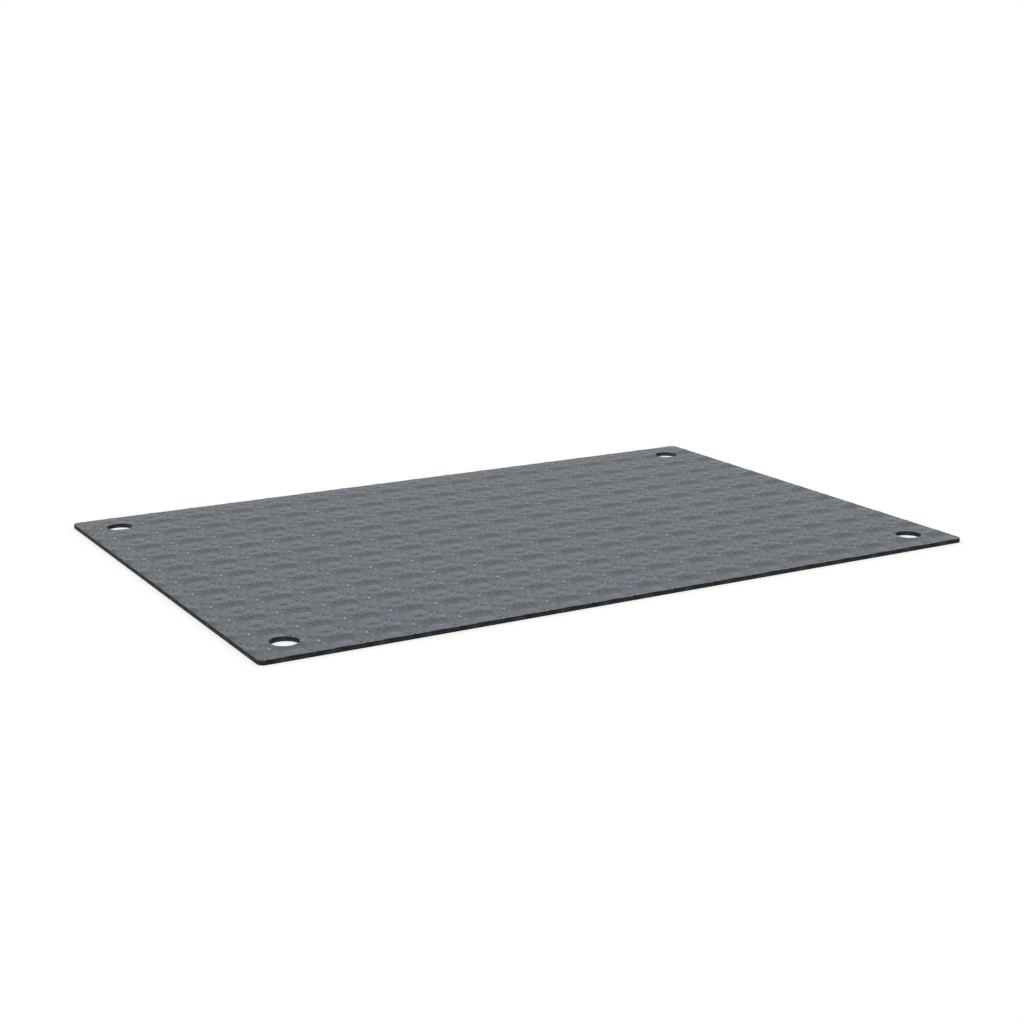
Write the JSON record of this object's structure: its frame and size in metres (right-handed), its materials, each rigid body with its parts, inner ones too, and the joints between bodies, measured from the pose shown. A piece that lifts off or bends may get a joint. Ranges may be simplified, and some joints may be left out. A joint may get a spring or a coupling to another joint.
{
  "type": "checker steel plate",
  "caption": "Flat rectangular steel floor plate with a rolled tread on top, rounded corners and a round fixing hole near each corner.",
  "frame": {"origin": "centre of the flat underside", "axes": "+X along the long edges, +Y along the short edges, +Z out of the tread side"},
  "size_m": [0.9, 0.6, 0.005],
  "materials": {
    "rolled_steel": "as rolled, matt blue-grey mill scale with fine mottling, dark along the cut edges and in the holes"
  },
  "bodies": {
    "root": {"checker_plate": "rolled_steel"}
  },
  "joints": []
}
